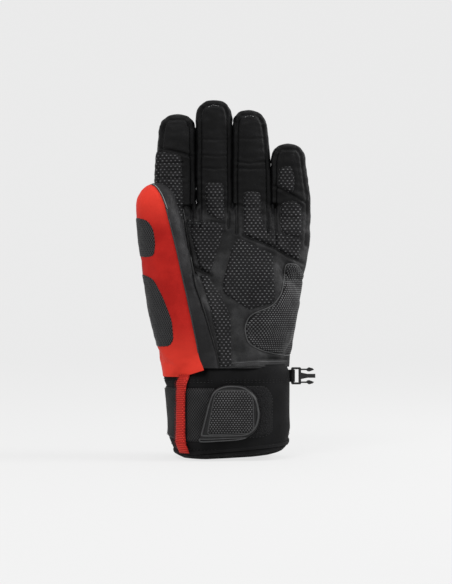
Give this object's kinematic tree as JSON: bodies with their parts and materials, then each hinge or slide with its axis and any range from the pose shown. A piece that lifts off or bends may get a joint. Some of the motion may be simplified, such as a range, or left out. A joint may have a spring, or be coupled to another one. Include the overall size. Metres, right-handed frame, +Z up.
{
  "type": "ski glove",
  "caption": "Left-hand padded ski glove with leather palm, red thumb, jointed fingers, peel-open wrist tab, pull loop and side-release clip.",
  "frame": {"origin": "centre of the hand opening, on the plane the hem rests on", "axes": "+Z up along the fingers, -Y out of the palm, -X towards the thumb"},
  "size_m": [0.14, 0.0877, 0.28],
  "materials": {
    "leather": "fine grain, slight gloss",
    "softshell": "matt stretch weave",
    "red_softshell": "matt stretch weave",
    "fleece": "brushed padding",
    "grip": "rows of raised dashes",
    "mesh": "coarse mesh",
    "webbing": "ribbed weave",
    "red_webbing": "ribbed weave",
    "hook_and_loop": "short loops",
    "rubber": "soft moulded",
    "plastic": "moulded"
  },
  "bodies": {
    "hand": {"back_softshell": "softshell", "buckle_loop": "webbing", "cuff_sleeve": "webbing", "hand_liner": "fleece", "heel_patch": "grip", "hem_binding": "webbing", "index_mount_patch": "grip", "knuckle_guard": "rubber", "knuckle_line_patch": "grip", "loop_patch": "hook_and_loop", "palm_centre_patch": "grip", "palm_leather": "leather", "pull_webbing": "red_webbing", "strap_anchor": "webbing", "thenar_mesh_patch": "mesh", "thenar_panel": "red_softshell", "thenar_side_panel": "leather", "thenar_strip_patch": "grip"},
    "buckle": {"buckle_tongue": "plastic"},
    "strap_tab": {"hook_patch": "hook_and_loop", "strap_band": "webbing", "tab_grip_patch": "grip", "tab_pad": "rubber"},
    "index_lower": {"index_back_lower": "softshell", "index_liner_lower": "fleece", "index_palm_lower": "leather", "index_patch_lower": "grip"},
    "index_upper": {"index_back_upper": "softshell", "index_liner_upper": "fleece", "index_palm_upper": "leather", "index_patch_upper": "grip"},
    "little_lower": {"little_back_lower": "softshell", "little_liner_lower": "fleece", "little_palm_lower": "leather", "little_patch_lower": "grip"},
    "little_upper": {"little_back_upper": "softshell", "little_liner_upper": "fleece", "little_palm_upper": "leather", "little_patch_upper": "grip"},
    "middle_lower": {"middle_back_lower": "softshell", "middle_liner_lower": "fleece", "middle_palm_lower": "leather", "middle_patch_lower": "grip"},
    "middle_upper": {"middle_back_upper": "softshell", "middle_liner_upper": "fleece", "middle_palm_upper": "leather"},
    "ring_lower": {"ring_back_lower": "softshell", "ring_liner_lower": "fleece", "ring_palm_lower": "leather", "ring_patch_lower": "grip"},
    "ring_upper": {"ring_back_upper": "softshell", "ring_liner_upper": "fleece", "ring_palm_upper": "leather"},
    "thumb_lower": {"thumb_back_lower": "red_softshell", "thumb_liner_lower": "fleece", "thumb_mesh_patch": "mesh", "thumb_palm_lower": "leather"},
    "thumb_upper": {"thumb_back_upper": "red_softshell", "thumb_liner_upper": "fleece", "thumb_palm_upper": "leather"}
  },
  "joints": [
    {"name": "index_knuckle", "type": "hinge", "parent": "hand", "child": "index_lower", "pos_m": [-0.0411, -0.01545, 0.19585], "axis": [1, 0, 0], "range_deg": [0, 30], "stiffness_Nm_per_rad": 0.08},
    {"name": "index_bend", "type": "hinge", "parent": "index_lower", "child": "index_upper", "pos_m": [-0.0411, -0.01614, 0.21985], "axis": [1, 0, 0], "range_deg": [0, 75], "stiffness_Nm_per_rad": 0.08},
    {"name": "middle_knuckle", "type": "hinge", "parent": "hand", "child": "middle_lower", "pos_m": [-0.00935, -0.01564, 0.19685], "axis": [1, 0, 0], "range_deg": [0, 60], "stiffness_Nm_per_rad": 0.08},
    {"name": "middle_bend", "type": "hinge", "parent": "middle_lower", "child": "middle_upper", "pos_m": [-0.00935, -0.0164, 0.22585], "axis": [1, 0, 0], "range_deg": [0, 80], "stiffness_Nm_per_rad": 0.08},
    {"name": "ring_knuckle", "type": "hinge", "parent": "hand", "child": "ring_lower", "pos_m": [0.02025, -0.01544, 0.19285], "axis": [1, 0, 0], "range_deg": [0, 60], "stiffness_Nm_per_rad": 0.08},
    {"name": "ring_bend", "type": "hinge", "parent": "ring_lower", "child": "ring_upper", "pos_m": [0.02025, -0.01617, 0.22085], "axis": [1, 0, 0], "range_deg": [0, 80], "stiffness_Nm_per_rad": 0.08},
    {"name": "little_knuckle", "type": "hinge", "parent": "hand", "child": "little_lower", "pos_m": [0.05065, -0.01487, 0.18385], "axis": [1, 0, 0], "range_deg": [0, 60], "stiffness_Nm_per_rad": 0.08},
    {"name": "little_bend", "type": "hinge", "parent": "little_lower", "child": "little_upper", "pos_m": [0.05065, -0.01519, 0.20535], "axis": [1, 0, 0], "range_deg": [0, 80], "stiffness_Nm_per_rad": 0.08},
    {"name": "thumb_spread", "type": "hinge", "parent": "hand", "child": "thumb_lower", "pos_m": [-0.06639, -0.02892, 0.14209], "axis": [0, -1, 0], "range_deg": [0, 35], "stiffness_Nm_per_rad": 0.08},
    {"name": "thumb_bend", "type": "hinge", "parent": "thumb_lower", "child": "thumb_upper", "pos_m": [-0.03541, -0.02942, 0.19121], "axis": [-0.5413, 0.8334, 0.1115], "range_deg": [0, 40], "stiffness_Nm_per_rad": 0.08},
    {"name": "tab_peel", "type": "hinge", "parent": "hand", "child": "strap_tab", "pos_m": [-0.03147, -0.02904, 0.0345], "axis": [0, 0, -1], "range_deg": [0, 120], "stiffness_Nm_per_rad": 0.02},
    {"name": "buckle_swing", "type": "hinge", "parent": "hand", "child": "buckle", "pos_m": [0.0523, 0, 0.0642], "axis": [0, 0, 1], "range_deg": [-75, 75]}
  ]
}
